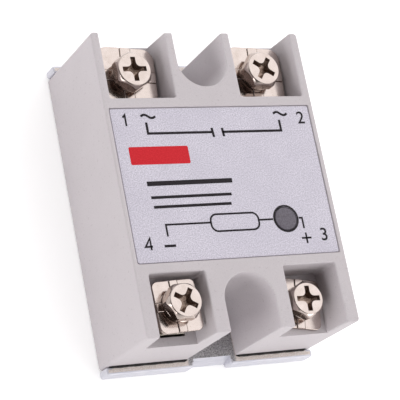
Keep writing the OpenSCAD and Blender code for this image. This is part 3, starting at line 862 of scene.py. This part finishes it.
def hexagon_head(flats):
    """A head with flat sides, a turned chamfer round its top and a cross recess."""
    half, point, top = flats / 2, flats / 2 / math.cos(math.pi / 6), flats / 2 - 0.2
    verts, faces, rings = [], [], 7
    for i in range(steps):
        a = 2 * math.pi * i / steps
        side = min(half / math.cos((a + math.pi / 6) % (math.pi / 3) - math.pi / 6), point - 0.1)
        meet = 1.45 + 0.85 * (point - side) / (point - top - 0.06)
        for radius, z in ((side - 0.1, 0), (side, 0.1), (side, meet - 0.07), (side - 0.05, meet + 0.02),
                          (top + 0.06, 2.32), (top - 0.02, 2.375), (top - 0.1, head_high)):
            verts.append((radius * math.cos(a), radius * math.sin(a), z))
        j = (i + 1) % steps
        faces += [(i * rings + k, j * rings + k, j * rings + k + 1, i * rings + k + 1)
                  for k in range(rings - 1)]
    faces.append([i * rings for i in range(steps)][::-1])
    faces.append([i * rings + rings - 1 for i in range(steps)])
    made = solid("head", verts, faces)
    levels = [(2.6, 2.47, 0.52), (2.4, 2.45, 0.5), (1.7, 2.28, 0.44), (0.85, 1.45, 0.36)]
    verts, faces = [], []
    for k, (z, reach, arm) in enumerate(levels):
        loop = cross_shape(arm, reach, reach, 0.06, 0.85)
        n = len(loop)
        verts.extend((p.x, p.y, z) for p in loop)
        if k:
            for i in range(n):
                j = (i + 1) % n
                faces.append(((k - 1) * n + i, k * n + i, k * n + j, (k - 1) * n + j))
    z, reach, arm = levels[0]
    cap([cross_shape(arm, reach, reach, 0.06, 0.85)], z, verts, faces, True)
    cap([loop], levels[-1][0], verts, faces, False)
    cut(made, solid("recess", verts, faces))
    weld(made, 24)
    return made


pitch, shank_length, shank_radius, root_radius = 0.6, 8.0, 1.74, 1.42
verts, faces, around = [], [], 32
rows = int(shank_length / pitch * 8)
for k in range(rows + 1):
    z = -shank_length + (shank_length + 0.3) * k / rows
    fade = min(1.0, max(0.0, (z + shank_length) / 0.5))
    for i in range(around):
        phase = (z / pitch - i / around) % 1.0
        crest = abs(2 * phase - 1)
        radius = root_radius + (shank_radius - root_radius) * min(1.0, crest * 1.25) * (0.3 + 0.7 * fade)
        radius *= 0.86 + 0.14 * fade
        a = 2 * math.pi * i / around
        verts.append((radius * math.cos(a), radius * math.sin(a), z))
    if k:
        for i in range(around):
            j = (i + 1) % around
            faces.append(((k - 1) * around + i, (k - 1) * around + j, k * around + j, k * around + i))
faces.append(list(range(around))[::-1])
faces.append([rows * around + i for i in range(around)])
shank_verts, shank_faces = verts, faces
output_flats, input_flats = 6.9, 6.5
for flats, number, turn in ((output_flats, 1, 1.0), (output_flats, 2, -34.0),
                            (input_flats, 3, -2.0), (input_flats, 4, -31.0)):
    shank = solid("shank", shank_verts, shank_faces, sharp=60)
    screw = joined([hexagon_head(flats), shank], f"screw_{number}_cross")
    screw.data.set_sharp_from_angle(angle=math.radians(24))
    # Faces inside the cross recess, which take the painted recess shade.
    recess_shade_faces = []
    for face in screw.data.polygons:
        middle = face.center
        recess_shade_faces.append(0.6 < middle.z < head_high - 0.01 and middle.xy.length < recess_reach)
    z = strap_top + lifts[number] + plate_thick + cross_high + washer_thick
    screw.data.transform(Matrix.Translation((*screws[number], z))
                         @ Matrix.Rotation(math.radians(turn), 4, "Z"))
    even_shading(screw)
    fit(screw, f"terminal_screw_{number}", "nickel_plate", nickel, f"screw_{number}",
        second=recess_painted_shade, where=lambda face: recess_shade_faces[face.index])


# ---------------------------------------------------------------------------------------------
# Circuit board and its parts: a green fibreglass board on pegs, with the coupler and the input
# parts at one end and the snubber and gate parts at the other. All of it is closed in.
def coat(name, first, second, size, metallic=0.0, roughness=0.45, depth=0.01):
    """A finish with soft patches of two colours and a slight relief."""
    material, tree, shader = finish_of(name, metallic, roughness)
    patches = grain(tree, size, detail=4)
    tree.links.new(mixed(tree, patches, tone(*first), tone(*second)), shader.inputs["Base Color"])
    tree.links.new(between(tree, patches, roughness * 0.8, roughness * 1.2), shader.inputs["Roughness"])
    relief(tree, shader, (patches, depth))
    return material


board_green = coat("green board", (28, 84, 46), (40, 104, 58), 1.2, roughness=0.35)
black_body = coat("black moulding", (34, 34, 36), (46, 45, 48), 0.4)
sand_coat = coat("sand coating", (196, 172, 128), (210, 188, 146), 0.6)
red_coat = coat("dipped red", (140, 38, 32), (160, 52, 44), 1.5, roughness=0.3)
white_ceramic = coat("white ceramic", (232, 229, 224), (240, 238, 234), 0.7)
copper = coat("tinned copper", (196, 128, 92), (216, 158, 122), 0.8, metallic=1.0, roughness=0.32)
grey_chip = coat("chip surface", (86, 88, 98), (102, 104, 114), 0.9, metallic=0.6, roughness=0.25)
potting = coat("potting", (38, 38, 42), (50, 50, 55), 2.5, roughness=0.3, depth=0.03)
for names, material in (
        (("circuit_board",), board_green), (("optocoupler", "transistor", "diode"), black_body),
        (("input_resistors", "gate_resistor", "snubber_resistor"), sand_coat),
        (("snubber_capacitor",), red_coat), (("ceramic_insulator",), white_ceramic),
        (("copper_pads", "bridge_strap", "gate_lead"), copper), (("power_chip",), grey_chip),
        (("potting_compound",), potting)):
    for name in names:
        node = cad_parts[name]
        node.data.materials.clear()
        node.data.materials.append(material)


# ---------------------------------------------------------------------------------------------
# Studio: a plain white floor, one large soft light beyond and above the far end and two smaller,
# low ones at the near left and the near end. The surround is pale, with a dark part high on the
# near left that gives the bright plating something to reflect.
def seen_directly(tree):
    """1 for what the camera sees straight on, in a shiny surface or through a clear one."""
    rays = tree.nodes.new("ShaderNodeLightPath")
    total = rays.outputs["Is Camera Ray"]
    for kind in ("Is Glossy Ray", "Is Transmission Ray"):
        larger = tree.nodes.new("ShaderNodeMath")
        larger.operation = "MAXIMUM"
        tree.links.new(total, larger.inputs[0])
        tree.links.new(rays.outputs[kind], larger.inputs[1])
        total = larger.outputs[0]
    return total


floor_mesh = bpy.data.meshes.new("studio_floor")
reach = 3.0
floor_mesh.from_pydata([(-reach, -reach, 0), (reach, -reach, 0), (reach, reach, 0), (-reach, reach, 0)],
                       [], [(0, 1, 2, 3)])
floor = bpy.data.objects.new("studio_floor", floor_mesh)
bpy.context.scene.collection.objects.link(floor)
paper = bpy.data.materials.new("studio paper")
paper.use_nodes = True
tree = paper.node_tree
shader = tree.nodes["Principled BSDF"]
shader.inputs["Base Color"].default_value = (0.86, 0.86, 0.86, 1)
shader.inputs["Roughness"].default_value = 0.9
shader.inputs["Specular IOR Level"].default_value = 0.1
glow = tree.nodes.new("ShaderNodeEmission")
glow.inputs["Color"].default_value = (1, 1, 1, 1)
seen = tree.nodes.new("ShaderNodeMath")
seen.operation = "MULTIPLY"
seen.inputs[1].default_value = 0.4
added = tree.nodes.new("ShaderNodeAddShader")
tree.links.new(seen_directly(tree), seen.inputs[0])
tree.links.new(seen.outputs[0], glow.inputs["Strength"])
tree.links.new(shader.outputs[0], added.inputs[0])
tree.links.new(glow.outputs[0], added.inputs[1])
tree.links.new(added.outputs[0], tree.nodes["Material Output"].inputs["Surface"])
floor_mesh.materials.append(paper)

world = bpy.data.worlds.new("studio surround")
bpy.context.scene.world = world
world.use_nodes = True
tree = world.node_tree
tree.nodes.clear()
output = tree.nodes.new("ShaderNodeOutputWorld")
backdrop = tree.nodes.new("ShaderNodeBackground")
backdrop.inputs["Strength"].default_value = 1.0
direction = tree.nodes.new("ShaderNodeTexCoord")
towards = tree.nodes.new("ShaderNodeVectorMath")
towards.operation = "DOT_PRODUCT"
towards.inputs[1].default_value = (-0.465, -0.28, 0.84)
shade = tree.nodes.new("ShaderNodeMapRange")
shade.interpolation_type = "SMOOTHSTEP"
shade.inputs["From Min"].default_value = 0.56
shade.inputs["From Max"].default_value = 0.9
tree.links.new(direction.outputs["Generated"], towards.inputs[0])
tree.links.new(towards.outputs["Value"], shade.inputs["Value"])
pale = tree.nodes.new("ShaderNodeMix")
pale.data_type = "RGBA"
pale.inputs[6].default_value = (1.1, 1.08, 1.09, 1)
pale.inputs[7].default_value = (1, 1, 1, 1)
room_tone = tree.nodes.new("ShaderNodeMix")
room_tone.data_type = "RGBA"
room_tone.inputs[7].default_value = (0.05, 0.04, 0.035, 1)
tree.links.new(seen_directly(tree), pale.inputs[0])
tree.links.new(pale.outputs[2], room_tone.inputs[6])
tree.links.new(shade.outputs["Result"], room_tone.inputs[0])
tree.links.new(room_tone.outputs[2], backdrop.inputs["Color"])
tree.links.new(backdrop.outputs[0], output.inputs["Surface"])


def softbox(name, place, width, height, power, colour):
    """A rectangular lamp at a place, in metres, aimed at the middle of the relay."""
    lamp = bpy.data.lights.new(name, "AREA")
    lamp.shape = "RECTANGLE"
    lamp.size, lamp.size_y = width, height
    lamp.energy = power
    lamp.color = colour
    holder = bpy.data.objects.new(name, lamp)
    bpy.context.scene.collection.objects.link(holder)
    holder.location = place
    aim = Vector((0, 0, 0.01)) - Vector(place)
    holder.rotation_euler = aim.to_track_quat("-Z", "Y").to_euler()


softbox("far_softbox", (0.55, 0.45, 0.95), 1.8, 1.8, 5.4, (1.0, 0.99, 0.98))
softbox("near_softbox", (-0.95, -0.5, 0.3), 0.9, 0.5, 4.9, (1.0, 0.99, 1.0))
softbox("front_softbox", (0.5, -1.0, 0.25), 0.7, 0.35, 2.2, (1.0, 0.99, 0.99))
